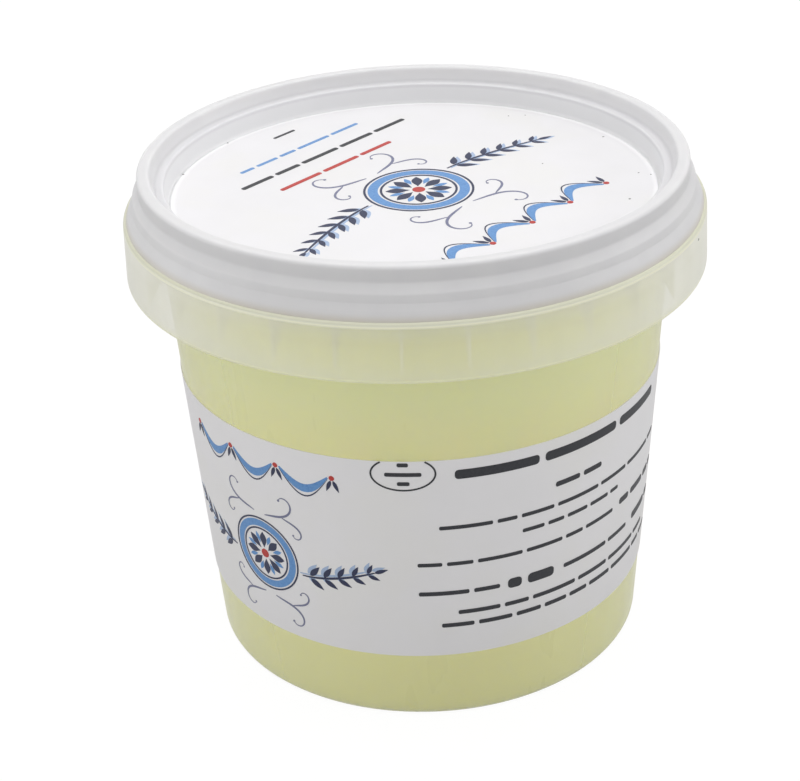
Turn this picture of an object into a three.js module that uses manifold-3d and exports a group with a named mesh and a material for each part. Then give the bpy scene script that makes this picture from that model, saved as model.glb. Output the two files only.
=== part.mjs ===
// A shut, tapered round tub of cheese in brine: a translucent tub with a hanging
// collar, a white snap-on lid, two paper labels and the brine that fills it.
// Millimetres, +Z up. The origin is the centre of the base, and the front faces -Y.

import * as THREE from 'three';
import { mergeVertices } from 'three/addons/utils/BufferGeometryUtils.js';
import Module from 'manifold-3d';

// ---- driving dimensions -------------------------------------------------------

const totalHeight = 85.9; // base to the top of the lid's crown
const roundSegments = 90;

// Tub: a cup with a straight draft from the base to the flange.
const baseRadius = 37.7;
const draft = 0.065; // growth in radius for each millimetre of height
const wall = 0.7;
const floorThickness = 0.9;
const baseCorner = 0.5;
const floorCorner = 1; // bevel between the floor and the wall, inside

// Every depth below is measured down from the top of the lid's crown.
const rimTopDepth = 4.1;
const rimOuterRadius = 45.9;
const rimOverhangDepth = 6.4;
const rimSlopeWidth = 1.5; // the rim's outer slope, which starts a little below its top
const rimSlopeStart = 0.3;
const neckRadius = 43.4;
const flangeTopDepth = 7.8;
const flangeThickness = 1.0;
const edgeBevel = 0.6; // on the outer edges of the rim and the flange

// Collar: the thin skirt that hangs from the flange, clear of the wall.
const collarTopRadius = 48.05;
const collarLowRadius = 48.4;
const collarLowDepth = 17.4;
const collarWall = 0.7;

// Gussets between the flange and the inside of the collar.
const ribCount = 30;
const ribThickness = 0.6;
const ribLowDepth = 15.9;
const ribRoot = 0.6; // from the cup's wall to a gusset's inner end
const ribToe = 0.3; // the height of that end
const ribStartAngle = -4; // degrees from the front, towards +X

// Lid: a recessed panel, a ledge halfway up, a solid crown, a sloped step and a skirt.
const lidWall = 0.8;
const panelRadius = 40.35;
const panelDepth = 6.1;
const ledgeInnerRadius = 40.95;
const ledgeOuterRadius = 42.4;
const ledgeDepth = 2.45;
const crownInnerRadius = 43.25;
const crownOuterRadius = 45.15;
const crownRound = 0.4;
const crownLean = 0.15; // draft of the crown's inner face near its top
const ledgeBevel = 0.2;
const shoulderDepth = 2.6;
const stepRadius = 46.2;
const stepDepth = 3.9;
const bandRadius = 46.5;
const bandDepth = 5.3;
const skirtTopRadius = 46.95;
const skirtTopDepth = 6.3;
const skirtRadius = 47.6;
const skirtLowDepth = 7.45;
const slopeWall = 0.45; // level thickness of the outside from the step to the skirt
const stepUnder = 1.0; // how far the underside turns below the outside's turn at the step
const bandUnder = 0.25; // the same at the band and at the top of the skirt
const snapBead = 1.1; // how far the bead stands in from the skirt, under the tub's rim
const beadLow = 0.45; // from the skirt's edge up to the bead
const beadHeight = 0.2;

// Paper labels, each a thin skin just clear of what it is stuck to.
const paper = 0.15;
const paperGap = 0.05;
const stickerRadius = 40.1;
const wrapTopDepth = 34.7;
const wrapLowDepth = 73.2;

// Brine: up to just under the lid, a hair clear of the tub.
const brineGap = 0.15;
const brineTopDepth = 7.5;

// ---- helpers ------------------------------------------------------------------

const heightAt = (depth) => totalHeight - depth;
const outerRadiusAt = (height) => baseRadius + draft * height;
const innerRadiusAt = (height) => outerRadiusAt(height) - wall;

// Revolves [radius, height] points about Z. The points run anticlockwise round
// the material, seen with the axis on the left. Phi 0 faces the front, -Y.
function revolve(points) {
  const profile = points.map(([radius, height]) => new THREE.Vector2(radius, height));
  return new THREE.LatheGeometry(profile, roundSegments).rotateX(Math.PI / 2);
}

function weld(geometry) {
  geometry.deleteAttribute('normal');
  geometry.deleteAttribute('uv');
  return mergeVertices(geometry, 1e-4);
}

const wasm = await Module();
wasm.setup();

function toSolid(geometry) {
  const welded = weld(geometry);
  const mesh = new wasm.Mesh({
    numProp: 3,
    vertProperties: new Float32Array(welded.attributes.position.array),
    triVerts: new Uint32Array(welded.index.array),
  });
  return new wasm.Manifold(mesh);
}

function toGeometry(solid) {
  const mesh = solid.getMesh();
  const geometry = new THREE.BufferGeometry();
  geometry.setAttribute('position', new THREE.BufferAttribute(mesh.vertProperties, 3));
  geometry.setIndex(new THREE.BufferAttribute(mesh.triVerts, 1));
  geometry.computeVertexNormals();
  return geometry;
}

function piece(name, geometry, color, roughness) {
  const material = new THREE.MeshStandardMaterial({ color, roughness, metalness: 0 });
  const mesh = new THREE.Mesh(geometry, material);
  mesh.name = name;
  return mesh;
}

// ---- tub ----------------------------------------------------------------------

function tubShell() {
  const flangeTop = heightAt(flangeTopDepth);
  const flangeUnder = flangeTop - flangeThickness;
  const collarLow = heightAt(collarLowDepth);
  const rimTop = heightAt(rimTopDepth);
  return revolve([
    [0, 0],
    [baseRadius - baseCorner, 0],
    [outerRadiusAt(baseCorner), baseCorner],
    [outerRadiusAt(flangeUnder), flangeUnder],
    [collarTopRadius - collarWall, flangeUnder],
    [collarLowRadius - collarWall, collarLow],
    [collarLowRadius, collarLow],
    [collarTopRadius, flangeTop - edgeBevel],
    [collarTopRadius - edgeBevel, flangeTop],
    [neckRadius, flangeTop],
    [neckRadius, heightAt(rimOverhangDepth)],
    [rimOuterRadius, heightAt(rimOverhangDepth)],
    [rimOuterRadius, heightAt(rimOverhangDepth) + edgeBevel],
    [rimOuterRadius - rimSlopeWidth, rimTop - rimSlopeStart],
    [innerRadiusAt(rimTop), rimTop],
    [innerRadiusAt(floorThickness + floorCorner), floorThickness + floorCorner],
    [innerRadiusAt(floorThickness) - floorCorner, floorThickness],
    [0, floorThickness],
  ]);
}

// One gusset, drawn as radius against height and sunk a little into the flange
// and the collar that it joins.
function gusset(angle) {
  const sunk = 0.35;
  const top = heightAt(flangeTopDepth + flangeThickness);
  const inner = outerRadiusAt(top) + ribRoot;
  const outer = collarTopRadius - collarWall;
  const shape = new THREE.Shape([
    new THREE.Vector2(inner, top + sunk),
    new THREE.Vector2(inner, top - ribToe),
    new THREE.Vector2(outer, heightAt(ribLowDepth)),
    new THREE.Vector2(outer + sunk, heightAt(ribLowDepth)),
    new THREE.Vector2(outer + sunk, top + sunk),
  ]);
  const web = new THREE.ExtrudeGeometry(shape, { depth: ribThickness, bevelEnabled: false });
  return web
    .translate(0, 0, -ribThickness / 2)
    .rotateX(Math.PI / 2)
    .rotateZ(-Math.PI / 2 + THREE.MathUtils.degToRad(angle));
}

function tub() {
  let solid = toSolid(tubShell());
  for (let rib = 0; rib < ribCount; rib += 1) {
    solid = solid.add(toSolid(gusset(ribStartAngle + (360 / ribCount) * rib)));
  }
  return piece('tub', toGeometry(solid), 0xd8dac6, 0.35);
}

// ---- lid ----------------------------------------------------------------------

function lid() {
  const crownTop = heightAt(0);
  const ledge = heightAt(ledgeDepth);
  const panel = heightAt(panelDepth);
  const skirtLow = heightAt(skirtLowDepth);
  const skirtInner = skirtRadius - lidWall;
  const beadFoot = skirtLow + beadLow;
  const geometry = revolve([
    // underside, from the axis out to the skirt
    [0, panel - lidWall],
    [panelRadius + lidWall, panel - lidWall],
    [ledgeInnerRadius + lidWall, ledge - lidWall],
    [crownOuterRadius - lidWall, ledge - lidWall],
    [stepRadius - slopeWall, heightAt(stepDepth) - stepUnder],
    [bandRadius - slopeWall, heightAt(bandDepth) - bandUnder],
    [skirtTopRadius - slopeWall, heightAt(skirtTopDepth) - bandUnder],
    [skirtInner - snapBead, beadFoot + beadHeight],
    [skirtInner - snapBead, beadFoot],
    [skirtInner, skirtLow],
    // outside, back up to the crown
    [skirtRadius, skirtLow],
    [skirtTopRadius, heightAt(skirtTopDepth)],
    [bandRadius, heightAt(bandDepth)],
    [stepRadius, heightAt(stepDepth)],
    [crownOuterRadius, heightAt(shoulderDepth)],
    [crownOuterRadius, crownTop - crownRound],
    [crownOuterRadius - crownRound, crownTop],
    [crownInnerRadius, crownTop],
    [crownInnerRadius - crownLean, crownTop - crownRound],
    // inside, down to the ledge and the panel
    [ledgeOuterRadius, ledge],
    [ledgeInnerRadius + ledgeBevel, ledge],
    [ledgeInnerRadius, ledge - ledgeBevel],
    [panelRadius, panel],
    [0, panel],
  ]);
  return piece('lid', geometry, 0xf0f0f2, 0.4);
}

// ---- labels -------------------------------------------------------------------

function lidLabel() {
  const low = heightAt(panelDepth) + paperGap;
  const geometry = revolve([
    [0, low],
    [stickerRadius, low],
    [stickerRadius, low + paper],
    [0, low + paper],
  ]);
  return piece('lid_label', geometry, 0xf5f5f7, 0.5);
}

function wrapLabel() {
  const low = heightAt(wrapLowDepth);
  const top = heightAt(wrapTopDepth);
  const inner = (height) => outerRadiusAt(height) + paperGap;
  const geometry = revolve([
    [inner(low), low],
    [inner(low) + paper, low],
    [inner(top) + paper, top],
    [inner(top), top],
    [inner(low), low],
  ]);
  return piece('wrap_label', geometry, 0xf2f1f1, 0.5);
}

// ---- contents -----------------------------------------------------------------

function brine() {
  const low = floorThickness + brineGap;
  const top = heightAt(brineTopDepth);
  const radiusAt = (height) => innerRadiusAt(height) - brineGap;
  const geometry = revolve([
    [0, low],
    [radiusAt(low) - floorCorner, low],
    [radiusAt(low + floorCorner), low + floorCorner],
    [radiusAt(top), top],
    [0, top],
  ]);
  return piece('brine', geometry, 0xe3e2a6, 0.2);
}

const cheeseTub = new THREE.Group();
cheeseTub.add(tub(), lid(), lidLabel(), wrapLabel(), brine());

export default cheeseTub;
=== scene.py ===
import math
import random

import bmesh
import bpy
from mathutils import Matrix, Vector


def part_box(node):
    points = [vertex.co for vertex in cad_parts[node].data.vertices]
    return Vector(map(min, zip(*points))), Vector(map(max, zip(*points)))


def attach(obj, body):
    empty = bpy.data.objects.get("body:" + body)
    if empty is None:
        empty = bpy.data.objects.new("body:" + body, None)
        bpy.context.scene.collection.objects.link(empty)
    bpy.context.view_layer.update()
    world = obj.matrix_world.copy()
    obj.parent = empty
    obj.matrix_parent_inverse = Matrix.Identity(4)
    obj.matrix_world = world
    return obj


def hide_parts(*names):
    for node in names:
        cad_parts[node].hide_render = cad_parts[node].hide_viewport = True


mm = 0.001
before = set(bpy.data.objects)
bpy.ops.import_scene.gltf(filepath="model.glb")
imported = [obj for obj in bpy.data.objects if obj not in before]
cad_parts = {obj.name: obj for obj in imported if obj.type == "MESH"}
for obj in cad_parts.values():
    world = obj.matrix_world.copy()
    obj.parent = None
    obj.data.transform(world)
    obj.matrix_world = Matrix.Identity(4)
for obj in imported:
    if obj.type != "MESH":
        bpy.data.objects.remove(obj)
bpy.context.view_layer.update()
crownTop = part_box("lid")[1].z / mm
wrapLow, wrapTop = (corner.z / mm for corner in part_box("wrap_label"))
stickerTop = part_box("lid_label")[1].z / mm
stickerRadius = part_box("lid_label")[1].x / mm
print("frame loaded, crown top at", round(crownTop, 2), "mm")


def heightAt(depth):  # depths are measured down from the top of the lid
    return crownTop - depth


class Signal:  # a node's output, so that shader maths can be written as an expression
    def __init__(self, finish, socket):
        self.finish, self.socket = finish, socket

    def __add__(self, other):
        return self.finish.calc("ADD", self, other)

    def __sub__(self, other):
        return self.finish.calc("SUBTRACT", self, other)

    def __rsub__(self, other):
        return self.finish.calc("SUBTRACT", other, self)

    def __mul__(self, other):
        return self.finish.calc("MULTIPLY", self, other)

    def __rtruediv__(self, other):
        return self.finish.calc("DIVIDE", other, self)

    def __pow__(self, other):
        return self.finish.calc("POWER", self, other)

    def __rpow__(self, other):
        return self.finish.calc("POWER", other, self)

    __radd__, __rmul__ = __add__, __mul__


class Finish:
    def __init__(self, owner):  # owner is a new material or world
        owner.use_nodes = True
        self.owner, self.tree = owner, owner.node_tree
        self.tree.nodes.clear()

    def node(self, kind, settings=None, values=None, give=0):
        made = self.tree.nodes.new(kind)
        for key, value in (settings or {}).items():
            setattr(made, key, value)
        for key, value in (values or {}).items():
            self.feed(self.find(made.inputs, key), value)
        return Signal(self, self.find(made.outputs, give)) if made.outputs else None

    def find(self, sockets, key):
        if isinstance(key, int):
            return sockets[key]
        return next(s for s in sockets if key in (s.identifier, s.name))

    def feed(self, socket, value):
        if isinstance(value, Signal):
            self.tree.links.new(value.socket, socket)
        elif socket.type == "RGBA" and len(value) == 3:
            socket.default_value = (*value, 1.0)
        else:
            socket.default_value = value

    def calc(self, operation, first, second=0.0):
        return self.node("ShaderNodeMath", {"operation": operation}, {0: first, 1: second})

    def blend(self, factor, first, second):
        settings = {"data_type": "RGBA", "blend_type": "MIX"}
        values = {"Factor_Float": factor, "A_Color": first, "B_Color": second}
        return self.node("ShaderNodeMix", settings, values, "Result_Color")

    def noise(self, size, detail=3.0, rough=0.5, along=1.0, seed=0.0):  # size of a blob in mm
        place = self.node("ShaderNodeTexCoord", give="Object")
        scale = (1 / (size * mm), 1 / (size * mm), 1 / (size * along * mm))
        values = {"Vector": place, "Scale": scale, "Location": (seed,) * 3}
        place = self.node("ShaderNodeMapping", {}, values)
        values = {"Vector": place, "Scale": 1.0, "Detail": detail, "Roughness": rough}
        return self.node("ShaderNodeTexNoise", {}, values, "Fac")

    def ramp(self, value, low, high, start=0.0, end=1.0, kind="SMOOTHSTEP"):
        values = {"Value": value, "From Min": low, "From Max": high, "To Min": start, "To Max": end}
        return self.node("ShaderNodeMapRange", {"interpolation_type": kind}, values)

    def height(self):  # in mm
        place = self.node("ShaderNodeTexCoord", give="Object")
        return self.node("ShaderNodeSeparateXYZ", {}, {0: place}, "Z") * (1 / mm)

    def radius(self):  # from the upright axis, in mm
        place = self.node("ShaderNodeTexCoord", give="Object")
        flat = self.node("ShaderNodeVectorMath", {"operation": "MULTIPLY"}, {0: place, 1: (1.0, 1.0, 0.0)})
        return self.node("ShaderNodeVectorMath", {"operation": "LENGTH"}, {0: flat}, "Value") * (1 / mm)

    def veil(self, alpha, edgeOn=1.04, growth=1.5):
        # A milky wall hides more where it is looked through at a slant. EdgeOn is a little over 1,
        # the slant of a wall seen edge on, so that the way through it stays finite.
        slant = self.node("ShaderNodeLayerWeight", {}, {"Blend": 0.5}, "Facing")
        return 1 - (1 - alpha) ** (1 / (edgeOn - slant) ** growth)

    def bump(self, pattern, strength, distance):  # distance in mm
        values = {"Strength": strength, "Distance": distance * mm, "Height": pattern}
        return self.node("ShaderNodeBump", {}, values, "Normal")

    def surface(self, **values):
        values = {key.replace("_", " "): value for key, value in values.items()}
        shader = self.node("ShaderNodeBsdfPrincipled", {}, values)
        self.node("ShaderNodeOutputMaterial", {}, {"Surface": shader})
        return self.owner


def newFinish(name):
    return Finish(bpy.data.materials.new(name))


def makePiece(name, bm, materials, replaces=None, sharp=40):
    # Each face wears the material of its own index, 0 unless the builder of the piece gave another.
    bmesh.ops.remove_doubles(bm, verts=bm.verts, dist=1e-7)
    bmesh.ops.recalc_face_normals(bm, faces=bm.faces)
    mesh = bpy.data.meshes.new(name)
    bm.to_mesh(mesh)
    bm.free()
    for polygon in mesh.polygons:
        polygon.use_smooth = True
    mesh.set_sharp_from_angle(angle=math.radians(sharp))
    for material in materials:
        mesh.materials.append(material)
    piece = bpy.data.objects.new(name, mesh)
    bpy.context.scene.collection.objects.link(piece)
    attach(piece, "root")
    if replaces:
        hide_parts(replaces)
    print("made", name, "with", len(mesh.polygons), "faces")
    return piece


def roundCorners(points, steps=5):
    # Points are (radius, height) or (radius, height, round), where round is a fillet radius in mm.
    out = []
    for index, point in enumerate(points):
        here = Vector(point[:2])
        if len(point) < 3:
            out.append(here)
            continue
        before = Vector(points[index - 1][:2]) - here
        after = Vector(points[(index + 1) % len(points)][:2]) - here
        reach = point[2] / math.tan(before.angle(after) / 2)
        reach = min(reach, before.length * 0.49, after.length * 0.49)
        start, end = here + before.normalized() * reach, here + after.normalized() * reach
        for step in range(steps + 1):  # a quadratic curve, close to the arc on such small rounds
            t = step / steps
            out.append(start * (1 - t) ** 2 + here * 2 * t * (1 - t) + end * t ** 2)
    return out


def lathe(points, segments, closed=False):
    bm = bmesh.new()
    rings = []
    for radius, height in points:
        angles = [math.tau * i / segments for i in range(segments)] if radius > 1e-6 else [0]
        rings.append([bm.verts.new((radius * mm * math.sin(a), -radius * mm * math.cos(a), height * mm))
                      for a in angles])
    pairs = list(zip(rings, rings[1:])) + ([(rings[-1], rings[0])] if closed else [])
    for low, high in pairs:
        for i in range(segments):
            j = (i + 1) % segments
            corners = [low[i % len(low)], low[j % len(low)], high[j % len(high)], high[i % len(high)]]
            corners = list(dict.fromkeys(corners))  # at the axis two corners are one
            if len(corners) > 2:
                bm.faces.new(corners)
    return bm


def prism(bm, outline, thickness, angle):
    # Outline is (radius, height) in mm, on the half plane at this angle from the front.
    out = Vector((math.sin(angle), -math.cos(angle), 0))
    side = Vector((math.cos(angle), math.sin(angle), 0))
    ends = []
    for offset in (-thickness / 2, thickness / 2):
        ends.append([bm.verts.new((out * r + side * offset + Vector((0, 0, h))) * mm) for r, h in outline])
    bm.faces.new(ends[0])
    bm.faces.new(reversed(ends[1]))
    for i in range(len(outline)):
        j = (i + 1) % len(outline)
        bm.faces.new((ends[0][j], ends[0][i], ends[1][i], ends[1][j]))


tub = {
    "baseRadius": 37.7, "draft": 0.065, "wall": 0.7, "floor": 0.9, "baseRound": 0.9,
    "rimTop": 4.1, "rimRadius": 45.9, "rimLow": 6.4, "neckRadius": 43.4,
    "flangeTop": 7.8, "flangeThick": 1.0, "collarTopRadius": 48.05, "collarLowRadius": 48.4,
    "collarLow": 17.4, "collarWall": 0.7, "edgeRound": 0.7,
    "ribs": 30, "ribThick": 0.45, "ribLow": 15.9, "ribStart": -4.0,  # ribStart in degrees from the front
    "ribRoot": 0.6, "ribToe": 0.3, "ribSunk": 0.15, "hair": 0.01, "collarClear": 0.3, "segments": 300,
    "wallMilk": (0.83, 0.83, 0.54), "wallAlpha": 0.12, "rough": 0.34, "cloud": 0.97,
    "ribMilk": (0.96, 0.96, 0.70), "ribAlpha": 0.60,
    # the upper wall's lighter milk is painted light behind the collar
    "upperPaintedLight": (0.92, 0.92, 0.47), "upperAlpha": 0.10, "upperLow": 67.0, "upperTop": 77.0,
    "collarMilk": (0.90, 0.895, 0.79), "collarAlpha": 0.30, "cloudAlpha": 0.12, "cloudLow": 11.5,
    # the flange's colour is painted shade, darker than the rest of the collar, full from the next depth up
    "flangePaintedShade": (0.65, 0.65, 0.51), "flangeAlpha": 0.55, "flangeShadeDepth": 8.05, "flangeFade": 8.4,
    "lowEdge": (0.25, 0.7),  # where the painted highlight along the collar's low edge fades, in mm above that edge
    # the edge colour here is a painted highlight for the collar's low edge and the line round the flange
    "edgePaintedHighlight": (0.91, 0.905, 0.70), "lowEdgeAlpha": 0.12, "lineAlpha": 0.60, "lineWide": 0.35,
}


def outerRadius(height):
    return tub["baseRadius"] + tub["draft"] * height


def innerRadius(height):
    return outerRadius(height) - tub["wall"]


def wallPaintedLight(finish, colour, veil):  # behind the collar the wall turns milkier, its lighter colour painted light against the lid's shade
    upper = finish.ramp(finish.height(), tub["upperLow"], tub["upperTop"])
    return finish.blend(upper, colour, tub["upperPaintedLight"]), veil + upper * tub["upperAlpha"]


def collarPaintedLightAndShade(finish, colour, veil):
    # Painted highlights: the low edge and a line round the flange get a lighter colour and more opacity.
    # Painted shade: the flange above that line is darker. Towards the top it is milkier.
    height = finish.height()
    low, line = heightAt(tub["collarLow"]), heightAt(tub["flangeFade"])
    lowEdge = 1 - finish.ramp(height, *(low + rise for rise in tub["lowEdge"]))
    above = finish.ramp(height, line, line + tub["lineWide"])
    # mask of the painted highlight lines
    glow = finish.ramp(height, line - tub["lineWide"], line) - above + lowEdge
    # painted shade: the flange is coloured darker above the highlight line
    flange = finish.ramp(height, line, heightAt(tub["flangeShadeDepth"]))
    colour = finish.blend(flange, finish.blend(glow, colour, tub["edgePaintedHighlight"]), tub["flangePaintedShade"])
    veil = veil + lowEdge * tub["lowEdgeAlpha"] + (glow - lowEdge) * tub["lineAlpha"]
    clouded = finish.ramp(height, heightAt(tub["cloudLow"]), line)
    return colour, veil + clouded * tub["cloudAlpha"] + flange * tub["flangeAlpha"]


def plasticFinish(name, alpha, milk, tone=None):
    finish = newFinish(name)
    flow = finish.noise(5.0, 4, 0.55, along=7)
    grain = finish.noise(0.35, 2, 0.6)
    colour = finish.blend(finish.ramp(flow, 0.3, 0.7), milk, tuple(c * tub["cloud"] for c in milk))
    veil = finish.veil(alpha)
    if tone:
        colour, veil = tone(finish, colour, veil)
    return finish.surface(
        Base_Color=colour, Alpha=finish.calc("MINIMUM", veil, 1.0), IOR=1.49,
        Roughness=finish.ramp(flow, 0.25, 0.75, tub["rough"] - 0.05, tub["rough"] + 0.06),
        Normal=finish.bump(flow * 0.8 + grain * 0.2, 0.12, 0.03))


def markCollar(bm):  # gives index 1 to what stands clear of the cup's wall, and counts the faces
    for face in bm.faces:
        middle = face.calc_center_median() / mm
        clear = math.hypot(middle.x, middle.y) - outerRadius(middle.z)
        face.material_index = int(clear > tub["collarClear"])
    return len(bm.faces)


def buildTub():
    flangeTop, rimTop, rimLow = (heightAt(tub[key]) for key in ("flangeTop", "rimTop", "rimLow"))
    collarLow, ribLow = heightAt(tub["collarLow"]), heightAt(tub["ribLow"])
    under = flangeTop - tub["flangeThick"]
    inside, top, low = tub["collarWall"], tub["collarTopRadius"], tub["collarLowRadius"]
    bm = lathe(roundCorners([
        (0, 0), (outerRadius(0), 0, tub["baseRound"]),
        (outerRadius(under), under, 0.4), (top - inside, under, 0.4),
        (low - inside, collarLow, 0.2), (low, collarLow, 0.35),
        (top, flangeTop, tub["edgeRound"]), (tub["neckRadius"], flangeTop, 0.3),
        (tub["neckRadius"], rimLow, 0.3), (tub["rimRadius"], rimLow, 0.2),
        (tub["rimRadius"], rimTop, 0.9), (innerRadius(rimTop), rimTop, 0.25),
        (innerRadius(tub["floor"]), tub["floor"], 1.5), (0, tub["floor"]),
    ]), tub["segments"])
    shellFaces = markCollar(bm)
    # A gusset, a hair clear of the flange and the collar, with its toe sunk into the collar.
    root, outer, hair = outerRadius(under) + tub["ribRoot"], top - inside, tub["hair"]
    gusset = [(root, under - hair), (root, under - tub["ribToe"]),
              (outer + tub["ribSunk"], ribLow), (outer - 2 * hair, under - hair)]
    for rib in range(tub["ribs"]):
        prism(bm, gusset, tub["ribThick"], math.radians(tub["ribStart"] + rib * 360 / tub["ribs"]))
    bm.faces.ensure_lookup_table()
    for face in bm.faces[shellFaces:]:
        face.material_index = 2
    finishes = [plasticFinish("naturalPolypropylene", tub["wallAlpha"], tub["wallMilk"], wallPaintedLight),
                plasticFinish("collarPolypropylene", tub["collarAlpha"], tub["collarMilk"], collarPaintedLightAndShade),
                plasticFinish("gussetPolypropylene", tub["ribAlpha"], tub["ribMilk"])]
    cup = makePiece("cup", bm, finishes, "tub")
    cup.visible_shadow = False  # milky plastic lets the light through to the brine


brine = {
    "skin": 0.08, "top": 7.5, "segments": 240,  # skin is the wall left outside the brine, in mm
    "clear": (0.86, 0.855, 0.47), "warm": (0.87, 0.835, 0.49), "green": (0.82, 0.85, 0.48),
    # painted shade: the brine is darker towards the bottom, up to the given height
    "lowShade": (0.80, 0.79, 0.43), "lowShadeTop": 32.0,
    "under": (0.85, 0.87, 0.54), "underLow": 50.0, "underTop": 65.0,  # painted shade below the collar, greyer and bluer
    # the upper brine colour is painted light: lighter up under the collar and lid, which shade it
    "upper": (0.98, 0.965, 0.35), "upperLow": 64.5, "upperTop": 70.0,
}


def brineFinish():
    finish = newFinish("cloudyBrine")
    broad = finish.noise(16, 2, 0.5, along=1.6, seed=3)
    streak = finish.noise(7, 3, 0.55, along=5, seed=9)
    colour = finish.blend(finish.ramp(broad, 0.42, 0.68), brine["clear"], brine["warm"])
    colour = finish.blend(finish.ramp(streak, 0.45, 0.75, 0, 0.6), colour, brine["green"])
    height = finish.height()
    # painted shade, darker towards the bottom
    colour = finish.blend(1 - finish.ramp(height, 0, brine["lowShadeTop"]), colour, brine["lowShade"])
    # painted shade below the collar, then painted light higher up under the lid
    for zone in ("under", "upper"):
        rise = finish.ramp(height, brine[zone + "Low"], brine[zone + "Top"])
        colour = finish.blend(rise, colour, brine[zone])
    return finish.surface(
        Base_Color=colour, Roughness=finish.ramp(streak, 0.2, 0.8, 0.25, 0.4), IOR=1.34,
        Subsurface_Weight=1.0, Subsurface_Radius=(1.0, 0.95, 0.5), Subsurface_Scale=6 * mm)


def buildBrine():
    # The wall bends the light so that the brine seems to fill it, right to the outside.
    low, top, skin = brine["skin"], heightAt(brine["top"]), brine["skin"]
    bm = lathe(roundCorners([
        (0, low), (outerRadius(low) - skin, low, tub["baseRound"] - skin),
        (outerRadius(top) - skin, top, 0.2), (0, top),
    ]), brine["segments"])
    makePiece("brineFill", bm, [brineFinish()], "brine")


lid = {
    "wall": 0.8, "panelRadius": 40.35, "panel": 6.1, "ledgeInner": 40.95, "ledgeOuter": 42.4, "ledge": 2.45,
    "crownInner": 43.15, "crownOuter": 45.15, "crownRound": 0.75, "shoulder": 2.5,
    "stepRadius": 46.15, "step": 4.0, "bandRadius": 46.45, "band": 5.3,
    "skirtRadius": 47.6, "skirtTopRadius": 46.95, "skirtTop": 6.35, "skirtLow": 7.93, "skirtTall": 1.4,
    "snapBead": 1.1, "beadLow": 0.9, "beadTop": 1.1,  # how far the bead stands in, and where above the edge
    "stepWall": 0.45, "bandWall": 0.5, "stepUnder": 1.0, "bandUnder": 0.2, "skirtUnder": 0.3,
    "segments": 300,
    # the skirt's tint and the tones inside the crown below are painted shade and painted light
    "white": (0.71, 0.705, 0.71), "cool": (0.69, 0.685, 0.695), "skirtPaintedShade": (0.615, 0.585, 0.54),
    # inside the crown: lighter walls and low wall, a darker ledge and a much lighter foot, all painted
    # light and shade
    "inside": (0.735, 0.73, 0.74), "insideTop": 0.8, "ledgePaintedShade": (0.67, 0.665, 0.68),
    "lowWall": (0.76, 0.76, 0.77), "foot": (0.92, 0.92, 0.93), "footTall": 0.9, "rough": 0.44,
}


def lidFinish():
    finish = newFinish("whiteLidPlastic")
    flow = finish.noise(6, 3, 0.5, along=3, seed=5)
    grain = finish.noise(0.3, 2, 0.6, seed=2)
    low, ledge, foot = (heightAt(lid[key]) for key in ("skirtLow", "ledge", "panel"))
    height = finish.height()
    colour = finish.blend(finish.ramp(flow, 0.35, 0.7), lid["white"], lid["cool"])
    # painted shade at the skirt's foot: darker and yellower, as light comes through the plastic
    colour = finish.blend(1 - finish.ramp(height, low, low + lid["skirtTall"]), colour, lid["skirtPaintedShade"])
    inside = 1 - finish.ramp(finish.radius(), lid["crownInner"] - 0.4, lid["crownInner"] - 0.1)
    paintedLightAndShade = (("inside", ledge + 0.5, heightAt(lid["insideTop"])), ("ledgePaintedShade", ledge + 0.1, ledge + 0.5),
             ("lowWall", ledge - 0.9, ledge - 0.3), ("foot", foot, foot + lid["footTall"]))
    for tone, bottom, top in paintedLightAndShade:  # painted light and shade inside the crown: lighter walls, a darker ledge, a lighter low wall and a much lighter foot, each lying below the one before it
        colour = finish.blend(inside * (1 - finish.ramp(height, bottom, top)), colour, lid[tone])
    rough = finish.ramp(flow, 0.2, 0.8, lid["rough"] - 0.06, lid["rough"] + 0.06)
    return finish.surface(
        Base_Color=colour, Roughness=rough, IOR=1.49,
        Normal=finish.bump(flow * 0.6 + grain * 0.4, 0.25, 0.06),
        Subsurface_Weight=1.0, Subsurface_Radius=(1.0, 1.0, 1.0), Subsurface_Scale=0.9 * mm)


def buildLid():
    wall, outer, skirt = lid["wall"], lid["crownOuter"], lid["skirtRadius"]
    bead, crownRound = skirt - wall - lid["snapBead"], lid["crownRound"]
    ledge, panel, low = (heightAt(lid[key]) for key in ("ledge", "panel", "skirtLow"))
    step, band, skirtTop = (heightAt(lid[key]) for key in ("step", "band", "skirtTop"))
    underside = [
        (0, panel - wall), (lid["panelRadius"] + wall, panel - wall, 0.3),
        (lid["ledgeInner"] + wall, ledge - wall, 0.3), (outer - wall, ledge - wall, 0.3),
        (lid["stepRadius"] - lid["stepWall"], step - lid["stepUnder"], 0.2),
        (lid["bandRadius"] - lid["bandWall"], band - lid["bandUnder"], 0.2),
        (lid["skirtTopRadius"] - lid["stepWall"], skirtTop - lid["skirtUnder"], 0.1),
        (bead, low + lid["beadTop"], 0.1), (bead, low + lid["beadLow"], 0.1), (skirt - wall, low, 0.1),
    ]
    outside = [
        (skirt, low, 0.05), (lid["skirtTopRadius"], skirtTop, 1.0), (lid["bandRadius"], band, 1.0),
        (lid["stepRadius"], step, 1.3), (outer, heightAt(lid["shoulder"]), 0.9),
        (outer, crownTop, crownRound), (lid["crownInner"], crownTop, crownRound - 0.1),
        (lid["ledgeOuter"], ledge, 0.7), (lid["ledgeInner"], ledge, 0.45),
        (lid["panelRadius"], panel, 0.45), (0, panel),
    ]
    bm = lathe(roundCorners(underside + outside), lid["segments"])
    makePiece("snapLid", bm, [lidFinish()], "lid")


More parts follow.
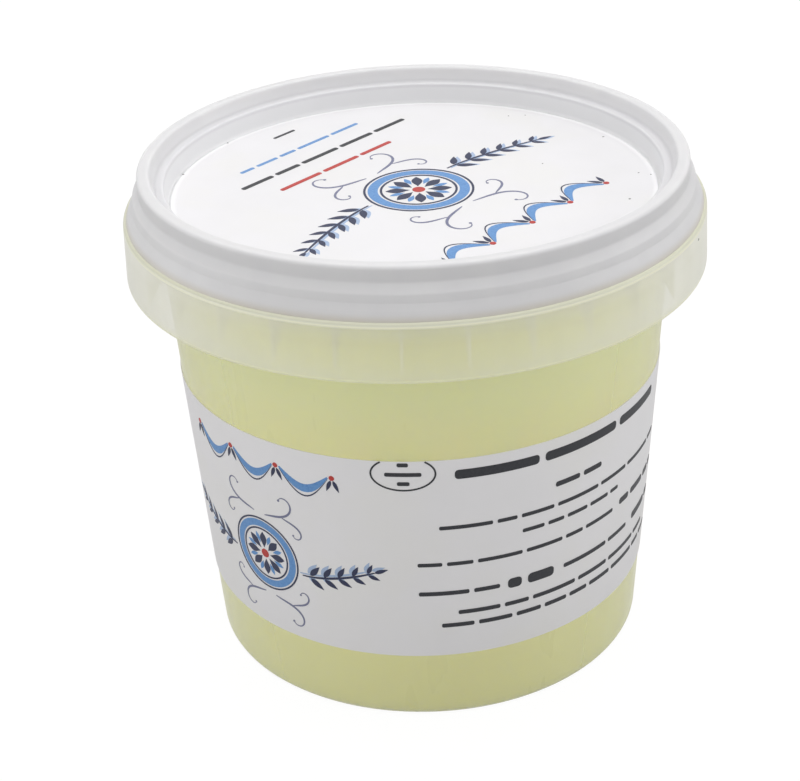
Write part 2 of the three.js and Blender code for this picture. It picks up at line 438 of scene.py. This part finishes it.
paper = {
    "thick": 0.15, "gap": 0.05, "segments": 360, "rough": 0.5,
    "white": (0.81, 0.80, 0.815), "grey": (0.785, 0.775, 0.785), "warm": (0.80, 0.79, 0.775),
    "edge": (0.93, 0.925, 0.935), "edgeWide": 1.1, "edgeSoft": 0.9, "stickerPaintedShade": 0.985, "bandPaintedLight": 1.015,
}


def paperFinish(name, tone, edge=None):  # edge is where the lighter rim of a round label begins, in mm; the rim is a whiter cut edge and partly painted light against the shade by the lid's wall
    finish = newFinish(name)
    cloud = finish.noise(9, 3, 0.5, seed=4)
    tint = finish.noise(14, 2, 0.5, seed=7)
    fibre = finish.noise(0.25, 3, 0.65, seed=1)
    # tone scales the same paper: darker on the sticker and lighter on the band, painted shade and painted
    # light
    white, grey, warm = (tuple(c * tone for c in paper[key]) for key in ("white", "grey", "warm"))
    colour = finish.blend(finish.ramp(cloud, 0.35, 0.7, 0, 0.5), white, grey)
    colour = finish.blend(finish.ramp(tint, 0.45, 0.7, 0, 0.6), colour, warm)
    if edge:
        # the lighter rim: whiter paper at the cut edge, partly painted light
        rim = finish.ramp(finish.radius(), edge, edge + paper["edgeSoft"])
        colour = finish.blend(rim, colour, paper["edge"])
    rough = finish.ramp(fibre, 0.2, 0.8, paper["rough"] - 0.06, paper["rough"] + 0.08)
    return finish.surface(
        Base_Color=colour, Roughness=rough, IOR=1.45, Normal=finish.bump(fibre, 0.18, 0.02))


def buildLidLabel():
    low = stickerTop - paper["thick"]
    points = [(0, low), (stickerRadius, low), (stickerRadius, stickerTop, 0.08), (0, stickerTop)]
    bm = lathe(roundCorners(points, 3), paper["segments"])
    finish = paperFinish("stickerPaper", paper["stickerPaintedShade"], stickerRadius - paper["edgeWide"])
    makePiece("lidSticker", bm, [finish], "lid_label")


def buildWrapLabel():
    near, far = paper["gap"], paper["gap"] + paper["thick"]
    points = [(outerRadius(wrapLow) + near, wrapLow), (outerRadius(wrapLow) + far, wrapLow, 0.05),
              (outerRadius(wrapTop) + far, wrapTop, 0.05), (outerRadius(wrapTop) + near, wrapTop)]
    bm = lathe(roundCorners(points, 3), paper["segments"], closed=True)
    finish = paperFinish("bandPaper", paper["bandPaintedLight"])
    band = makePiece("bandLabel", bm, [finish], "wrap_label")
    band.visible_shadow = band.visible_diffuse = False  # paper doesn't shade the brine along its edges


inks = {  # colour, darker variation and how far the ink's face stands above the paper, in mm
    "shade": ((0.40, 0.50, 0.68), (0.34, 0.45, 0.64), 0.015),
    "sky": ((0.13, 0.30, 0.60), (0.10, 0.25, 0.54), 0.030),
    "grey": ((0.19, 0.20, 0.30), (0.15, 0.16, 0.26), 0.030),
    "navy": ((0.020, 0.026, 0.070), (0.028, 0.036, 0.085), 0.045),
    "black": ((0.022, 0.024, 0.030), (0.035, 0.036, 0.042), 0.045),
    "red": ((0.50, 0.045, 0.035), (0.42, 0.035, 0.030), 0.060),
}
printing = {
    "sunk": 0.03, "apart": 0.0006, "thinnest": 0.03, "step": 1.4, "rough": 0.46, "shadow": (-0.45, 0.40),
    "lidTurn": 228.0, "bandRadius": 39.9, "wordGap": 0.9, "leastRoom": 1.5,
}


def inkFinish(name):
    colour, darker, _ = inks[name]
    finish = newFinish(name + "Ink")
    speckle = finish.noise(0.35, 3, 0.6, seed=6)
    colour = finish.blend(finish.ramp(speckle, 0.4, 0.7), colour, darker)
    rough = finish.ramp(speckle, 0.3, 0.7, printing["rough"] - 0.05, printing["rough"] + 0.05)
    return finish.surface(Base_Color=colour, Roughness=rough, IOR=1.45)


def onLid(x, y, lift):  # label coordinates in mm, with x along the reading direction
    turn = math.radians(printing["lidTurn"])
    return Vector((x * math.cos(turn) - y * math.sin(turn), x * math.sin(turn) + y * math.cos(turn),
                   stickerTop + lift)) * mm


def onBand(x, y, lift):  # x runs round the tub from the front, and y up from the band's lower edge
    angle, height = x / printing["bandRadius"], wrapLow + y
    radius = outerRadius(height) + paper["gap"] + paper["thick"] + lift
    return Vector((radius * math.sin(angle), -radius * math.cos(angle), height)) * mm


class Ink:  # gathers thin closed ribbons of one ink on one label
    def __init__(self, name, place, shift=(0.0, 0.0)):
        self.name, self.place, self.shift = name, place, Vector(shift)
        self.bm, self.drawn = bmesh.new(), 0

    def ribbon(self, line, widths, closed=False):
        points = [Vector(point) + self.shift for point in line]
        top = inks[self.name][2] + printing["apart"] * (self.drawn % 16)  # strokes that cross stay apart
        self.drawn += 1
        rows = []
        for i, point in enumerate(points):
            before = points[i - 1] if i or closed else point
            after = points[(i + 1) % len(points)] if i + 1 < len(points) or closed else point
            along = (after - before).normalized()
            across = Vector((-along.y, along.x)) * max(widths[i], printing["thinnest"]) / 2
            foot = -printing["sunk"]
            places = [(-1, top), (0, top), (1, top), (1, foot), (0, foot), (-1, foot)]
            rows.append([self.bm.verts.new(self.place(*(point + across * side), lift))
                         for side, lift in places])
        pairs = list(zip(rows, rows[1:])) + ([(rows[-1], rows[0])] if closed else [])
        for first, second in pairs:
            for i in range(len(first)):
                j = (i + 1) % len(first)
                self.bm.faces.new((first[i], first[j], second[j], second[i]))
        if not closed:
            self.bm.faces.new(reversed(rows[0]))
            self.bm.faces.new(rows[-1])

    def stroke(self, line, width, taper=0.35):  # swells in the middle, thin at the ends
        count = len(line) - 1
        swell = [math.sin(math.pi * i / count) for i in range(count + 1)]
        self.ribbon(line, [width * (taper + (1 - taper) * s) for s in swell])

    def bar(self, x, y, length, thick):
        corner = min(thick, length) * 0.35
        stops = [0, 0.12 * corner, 0.5 * corner, corner]
        inner = max(1, math.ceil((length - 2 * corner) / printing["step"]))
        middle = [corner + (length - 2 * corner) * i / inner for i in range(1, inner)]
        places = stops + middle + [length - stop for stop in reversed(stops)]
        widths = []
        for place in places:
            reach = min(place, length - place, corner)
            widths.append(thick - 2 * corner + 2 * math.sqrt(corner ** 2 - (corner - reach) ** 2))
        self.ribbon([(x + place, y) for place in places], widths)

    def disc(self, centre, radius):
        turns = [math.pi * i / 10 for i in range(11)]
        line = [(centre[0] - radius * math.cos(a), centre[1]) for a in turns]
        self.ribbon(line, [2 * radius * math.sin(a) for a in turns])

    def ring(self, centre, radius, width, start=0.0, end=360.0, squash=1.0):
        count = max(12, math.ceil(abs(end - start) / 6))
        closed = abs(end - start) >= 360
        angles = [math.radians(start + (end - start) * i / count) for i in range(count + (not closed))]
        tall = radius * squash
        line = [(centre[0] + radius * math.cos(a), centre[1] + tall * math.sin(a)) for a in angles]
        self.ribbon(line, [width] * len(line), closed)

    def leaf(self, centre, heading, start, end, width, bulge=0.75):
        # A leaf or petal from start to end along its heading, widest nearer its foot if bulge is under 1.
        turn, line, widths = math.radians(heading), [], []
        along = Vector((math.cos(turn), math.sin(turn)))
        for i in range(11):
            line.append(Vector(centre) + along * (start + (end - start) * i / 10))
            widths.append(width * math.sin(math.pi * (i / 10) ** bulge))
        self.ribbon(line, widths)

    def scroll(self, centre, side, start, heading, length, bends, width):
        # A pen stroke whose bend runs from the first to the second value, in degrees for each mm.
        # Side -1 mirrors it about the centre's upright line. A dot closes the curl.
        position, turn, steps, line = Vector(start), math.radians(heading), 56, []
        for i in range(steps + 1):
            line.append(Vector((centre[0] + side * position.x, centre[1] + position.y)))
            bend = bends[0] + (bends[1] - bends[0]) * (i / steps) ** 1.6
            turn += math.radians(bend) * length / steps
            position += Vector((math.cos(turn), math.sin(turn))) * length / steps
        swell = [math.sin(math.pi * (i / steps) ** 0.7) for i in range(steps + 1)]
        self.ribbon(line, [width * (0.30 + 0.70 * s) for s in swell])
        self.disc(line[-1], width * 0.55)

    def finish(self, slot, label):
        makePiece(label + self.name.capitalize(), self.bm, [inkFinish(self.name)])


def laurel(ink, centre, side, art):
    # A bowed branch with pairs of slim leaves that get smaller towards its tip.
    length, bow, leaf = art["laurel"]
    steps = 4 * art["leafPairs"]
    stem = []
    for i in range(steps + 1):
        t = i / steps
        stem.append(Vector((centre[0] + side * (art["medallion"][1] * 1.32 + length * t),
                            centre[1] - bow + 2 * bow * t ** 1.6)))
    ink.stroke(stem, leaf * 0.13, 0.5)
    for i in range(2, steps, 4):
        along = stem[i + 1] - stem[i - 1]
        heading = math.degrees(math.atan2(along.y, along.x))
        grow = leaf * (1.0 - 0.35 * i / steps)
        for spread in (-44, 44):
            ink.leaf(stem[i], heading + spread, 0.12 * grow, grow, grow * 0.32)
    ink.leaf(stem[-1], heading, 0, leaf * 0.7, leaf * 0.22)


def medallion(inkSet, centre, radius):
    inkSet["sky"].ring(centre, radius, radius * 0.22)
    for line in (1.18, 0.82):
        inkSet["navy"].ring(centre, radius * line, radius * 0.05)
    for petal in range(8):
        heading = petal * 45
        inkSet["navy"].leaf(centre, heading, radius * 0.20, radius * 0.72, radius * 0.24, 1.2)
        inkSet["sky"].leaf(centre, heading + 22.5, radius * 0.34, radius * 0.70, radius * 0.13, 1.2)
    inkSet["red"].disc(centre, radius * 0.14)


def festoon(inkSet, place, length, drop, swags, thick):
    # Garlands that hang between berries, lined below, with a pair of leaves under each berry.
    span = length / swags
    for swag in range(swags):
        strands = (("sky", thick, 0.0, drop), ("navy", 0.24, 0.35, drop + thick * 0.75))
        for name, wide, below, drawn in strands:
            line = []
            for i in range(17):
                x = place[0] - length / 2 + span * (swag + 0.07 + 0.86 * i / 16)
                line.append((x, place[1] - below - drawn * math.sin(math.pi * i / 16)))
            inkSet[name].stroke(line, wide, 0.2)
    for join in range(swags + 1):
        berry = (place[0] - length / 2 + span * join, place[1])
        inkSet["red"].disc(berry, thick * 0.30)
        for heading in (-112, -68):
            inkSet["navy"].leaf(berry, heading, thick * 0.35, drop * 0.95, thick * 0.45)


def wordRow(ink, start, end, y, thick, longest, draw):  # bars of word length that fill a row
    x = start
    while x < end - printing["leastRoom"]:
        length = min(draw.uniform(0.35, 1.0) * longest, end - x)
        ink.bar(x, y, length, thick)
        x += length + printing["wordGap"] * (0.6 + thick * 0.35)


lidArt = {  # label coordinates in mm
    "festoon": ((1, 25.4), 40, 3.4, 4, 1.7),  # place, length, drop, swags and thickness
    "medallion": ((1, 2.0), 7.6),  # centre and radius
    "laurel": (19.5, 2.2, 4.1), "leafPairs": 6,  # length, bow and leaf
    "scrolls": (  # ink, start from the medallion's centre, heading, length, bends and width
        ("grey", (1.4, 10.3), 14, 14, (-2.0, 48), 0.50), ("grey", (6.2, 11.2), -22, 9, (4, -76), 0.42),
        ("grey", (1.4, -10.3), -14, 14, (2.0, -48), 0.50), ("grey", (6.2, -11.2), 22, 9, (-4, 76), 0.42),
    ),
    "rows": (  # ink, start, end, height, thickness and longest word
        ("red", -13, 14.5, -16.4, 0.85, 12), ("black", -23, 18, -22.0, 0.95, 12),
        ("sky", -16.5, 13, -27.4, 0.75, 9), ("black", -7.5, -1.5, -34.4, 0.6, 6),
    ),
}
bandArt = {
    "festoon": ((-30, 34.4), 30, 2.9, 3, 1.5), "medallion": ((-30, 15.2), 5.9),
    "laurel": (13.0, 1.6, 3.4), "leafPairs": 5,
    "scrolls": (
        ("grey", (1.2, 8.2), 14, 10.5, (-3.0, 64), 0.40), ("grey", (4.9, 8.9), -22, 7, (5, -98), 0.34),
        ("grey", (1.2, -8.2), -14, 10.5, (3.0, -64), 0.40), ("grey", (4.9, -8.9), 22, 7, (-5, 98), 0.34),
    ),
    "oval": ((-3.8, 36.2), 4.9, 0.28, 133, 407, 0.62),  # centre, radius, width, start, end and squash
    "ovalRows": ((1.7, 37.9, 0.7), (5.6, 36.1, 0.7), (1.9, 34.4, 0.7)),  # length, height and thickness
    "rows": (  # start, end, height, thickness and longest word
        (4.0, 47.0, 35.7, 1.7, 18), (20.8, 30.5, 29.7, 0.95, 5), (1.4, 52.0, 25.7, 0.7, 9),
        (15.0, 36.0, 22.7, 0.7, 6), (-2.2, 35.8, 18.6, 0.7, 8), (36.8, 53.0, 19.0, 1.2, 7),
        (-2.2, 11.6, 12.8, 0.8, 9), (12.6, 22.2, 12.8, 1.9, 5), (23.2, 41.5, 12.8, 0.8, 11),
        (42.5, 53.0, 13.0, 1.4, 7), (4.2, 49.0, 8.7, 0.8, 9), (1.4, 53.0, 6.2, 0.8, 10),
    ),
    # Behind: the heading, then the small rows' ends, thickness and longest word, the gap under
    # the heading, and how many rows there are and how far apart.
    "backRows": ((100.0, 150.0, 31.6, 1.4, 12), (100.0, 150.0, 0.75, 9), 4.0, 9, 2.6),
}


def drawArt(inkSet, art):
    festoon(inkSet, *art["festoon"])
    centre, radius = art["medallion"]
    medallion(inkSet, centre, radius)
    for side in (-1, 1):
        laurel(inkSet["cast"], centre, side, art)
        laurel(inkSet["navy"], centre, side, art)
        for name, *stroke in art["scrolls"]:
            inkSet[name].scroll(centre, side, *stroke)


def makeInks(place):
    inkSet = {name: Ink(name, place) for name in inks}
    inkSet["cast"] = Ink("shade", place, printing["shadow"])  # the pale shadow beside navy strokes
    return inkSet


def finishInks(inkSet, slot, label):
    cast = inkSet.pop("cast")  # these shadows are one piece with the rest of their ink
    shade = inkSet["shade"]
    joined = bpy.data.meshes.new("cast")
    cast.bm.to_mesh(joined)
    cast.bm.free()
    shade.bm.from_mesh(joined)
    bpy.data.meshes.remove(joined)
    for ink in inkSet.values():
        ink.finish(slot, label)


def printLid():
    inkSet, draw = makeInks(onLid), random.Random(11)
    drawArt(inkSet, lidArt)
    for name, start, end, y, thick, longest in lidArt["rows"]:
        wordRow(inkSet[name], start, end, y, thick, longest, draw)
    finishInks(inkSet, "lid_label", "lid")


def printBand():
    inkSet, draw = makeInks(onBand), random.Random(5)
    drawArt(inkSet, bandArt)
    black = inkSet["black"]
    for start, end, y, thick, longest in bandArt["rows"]:
        wordRow(black, start, end, y, thick, longest, draw)
    heading, (start, end, thick, longest), gap, count, pitch = bandArt["backRows"]
    wordRow(black, *heading, draw)
    for row in range(count):
        stop = end if row < count - 1 else (start + end) / 2  # the last row is short
        wordRow(black, start, stop, heading[2] - gap - row * pitch, thick, longest, draw)
    black.ring(*bandArt["oval"])  # the band's top edge cuts the oval
    for length, y, thick in bandArt["ovalRows"]:
        black.bar(bandArt["oval"][0][0] - length / 2, y, length, thick)
    finishInks(inkSet, "wrap_label", "band")


dust = {
    "colour": (0.10, 0.095, 0.09), "pale": (0.20, 0.19, 0.18), "tall": 0.07, "sides": 8, "uneven": 0.25,
    "offSticker": 0.005, "offCollar": 0.08,  # how far the crumbs' feet stand off
    "onSticker": (  # place and radius in mm
        (-38.9, 9.4, 0.20), (-32.2, 23.6, 0.18), (33.6, 18.4, 0.20), (37.4, 1.0, 0.16), (39.3, 0.0, 0.14),
        (34.5, -10.0, 0.22), (18.0, 31.0, 0.15), (21.0, 31.0, 0.13), (22.0, 7.0, 0.14),
    ),
    "onCollar": (66.9, 9.6, 0.24),  # angle from the front in degrees, depth and radius
}


def speck(bm, place, out, radius):  # a low crumb whose top points out
    across = out.orthogonal().normalized()
    foot = []
    for i in range(dust["sides"]):
        turned = Matrix.Rotation(math.tau * i / dust["sides"], 3, out) @ across
        uneven = 1.0 + dust["uneven"] * math.sin(2.0 * i)
        foot.append(bm.verts.new((place + turned * radius * uneven) * mm))
    top = bm.verts.new((place + out * dust["tall"]) * mm)
    bm.faces.new(foot)
    for i, corner in enumerate(foot):
        bm.faces.new((corner, foot[(i + 1) % len(foot)], top))


def buildDust():  # a few dark crumbs of dust that lie on the pack
    finish = newFinish("dustCrumbs")
    fleck = finish.noise(0.4, 2, 0.6, seed=8)
    finish.surface(Base_Color=finish.blend(finish.ramp(fleck, 0.4, 0.6), dust["colour"], dust["pale"]),
                   Roughness=finish.ramp(fleck, 0.3, 0.7, 0.7, 0.9))
    bm = bmesh.new()
    for x, y, radius in dust["onSticker"]:
        speck(bm, Vector((x, y, stickerTop + dust["offSticker"])), Vector((0, 0, 1)), radius)
    makePiece("stickerDust", bm, [finish.owner])
    angle, depth, radius = dust["onCollar"]
    out = Vector((math.sin(math.radians(angle)), -math.cos(math.radians(angle)), 0))
    bm = bmesh.new()
    place = out * (tub["collarTopRadius"] + dust["offCollar"]) + Vector((0, 0, heightAt(depth)))
    speck(bm, place, out, radius)
    makePiece("collarDust", bm, [finish.owner])


buildTub()
buildBrine()
buildLid()
buildLidLabel()
buildWrapLabel()
printLid()
printBand()
buildDust()

studio = {
    "floorSize": 6.0, "floorWhite": (0.35, 0.35, 0.35), "floorGlow": 0.18, "floorHeight": -0.4,
    "sheetWhite": (0.08, 0.08, 0.08), "sheetGlow": 0.94, "sheetHeight": -0.2,  # heights in mm
    "ambient": 0.51, "mirrored": 0.72,  # the room's brightness, and how it shows in gloss
    "softboxes": {  # place, size and power, in metres and watts
        "top": ((0, 0.25, 1.1), (1.4, 1.4), 9.1),
        "back": ((0, 1.3, 0.8), (1.6, 1.0), 0.3),
        "left": ((-1.3, -0.1, 0.10), (1.0, 0.24), 2.6),
        "right": ((1.3, 0.1, 0.48), (1.0, 0.6), 3.6),
        "front": ((0, -1.3, 0.9), (1.2, 0.8), 3.8),
    },
}


def stageFinish(name, white, glow):
    finish = newFinish(name)
    tone = finish.noise(80, 2, 0.5)
    return finish.surface(
        Base_Color=finish.blend(finish.ramp(tone, 0.3, 0.7), white, tuple(c * 0.99 for c in white)),
        Roughness=0.9, Emission_Color=(1.0, 1.0, 1.0), Emission_Strength=glow, Specular_IOR_Level=0.0)


def stagePlane(name, height, finish):
    half = studio["floorSize"] / 2
    mesh = bpy.data.meshes.new(name)
    corners = [(-half, -half, 0), (half, -half, 0), (half, half, 0), (-half, half, 0)]
    mesh.from_pydata(corners, [], [(0, 1, 2, 3)])
    mesh.materials.append(finish)
    plane = bpy.data.objects.new(name, mesh)
    plane.location.z = height * mm
    bpy.context.scene.collection.objects.link(plane)
    return plane


def buildStudio():
    # The light bounces off the floor, and the camera sees an even white sheet that lies on it.
    finish = stageFinish("studioFloor", studio["floorWhite"], studio["floorGlow"])
    floor = stagePlane("floor", studio["floorHeight"], finish)
    floor.visible_camera = floor.visible_glossy = False
    finish = stageFinish("studioSheet", studio["sheetWhite"], studio["sheetGlow"])
    sheet = stagePlane("sheet", studio["sheetHeight"], finish)
    sheet.visible_diffuse = sheet.visible_glossy = sheet.visible_transmission = sheet.visible_shadow = False

    world = bpy.data.worlds.new("studio")
    bpy.context.scene.world = world
    sky = Finish(world)
    seen = sky.node("ShaderNodeLightPath", give="Is Camera Ray")
    mirrored = sky.node("ShaderNodeLightPath", give="Is Glossy Ray")
    ambient = studio["ambient"]
    strength = seen * (1.0 - ambient) + mirrored * (studio["mirrored"] - ambient) + ambient
    light = sky.node("ShaderNodeBackground", {}, {"Color": (1.0, 1.0, 1.0), "Strength": strength})
    sky.node("ShaderNodeOutputWorld", {}, {"Surface": light})

    for name, (place, size, power) in studio["softboxes"].items():
        lamp = bpy.data.lights.new(name, "AREA")
        lamp.shape, lamp.size, lamp.size_y, lamp.energy = "RECTANGLE", size[0], size[1], power
        holder = bpy.data.objects.new(name, lamp)
        holder.location = place
        aim = Vector((0, 0, crownTop / 2 * mm)) - Vector(place)
        holder.rotation_euler = aim.to_track_quat("-Z", "Y").to_euler()
        bpy.context.scene.collection.objects.link(holder)


camera = {  # place in mm and angles in degrees
    "lens": 82.93, "sensor": 36.0, "place": (-3.743, -284.40, 194.86),
    "down": 28.3286, "roll": -2.5641,
}


def buildCamera():
    data = bpy.data.cameras.new("camera")
    data.lens, data.sensor_width, data.sensor_fit = camera["lens"], camera["sensor"], "HORIZONTAL"
    data.clip_start = 0.01
    holder = bpy.data.objects.new("camera", data)
    tilt = Matrix.Rotation(math.radians(90 - camera["down"]), 4, "X")
    roll = Matrix.Rotation(math.radians(camera["roll"]), 4, "Z")
    holder.matrix_world = Matrix.Translation(Vector(camera["place"]) * mm) @ tilt @ roll
    bpy.context.scene.collection.objects.link(holder)
    bpy.context.scene.camera = holder


buildStudio()
buildCamera()
scene = bpy.context.scene
scene.view_settings.view_transform = "Standard"
scene.cycles.transparent_max_bounces = 24
print("studio and camera set")
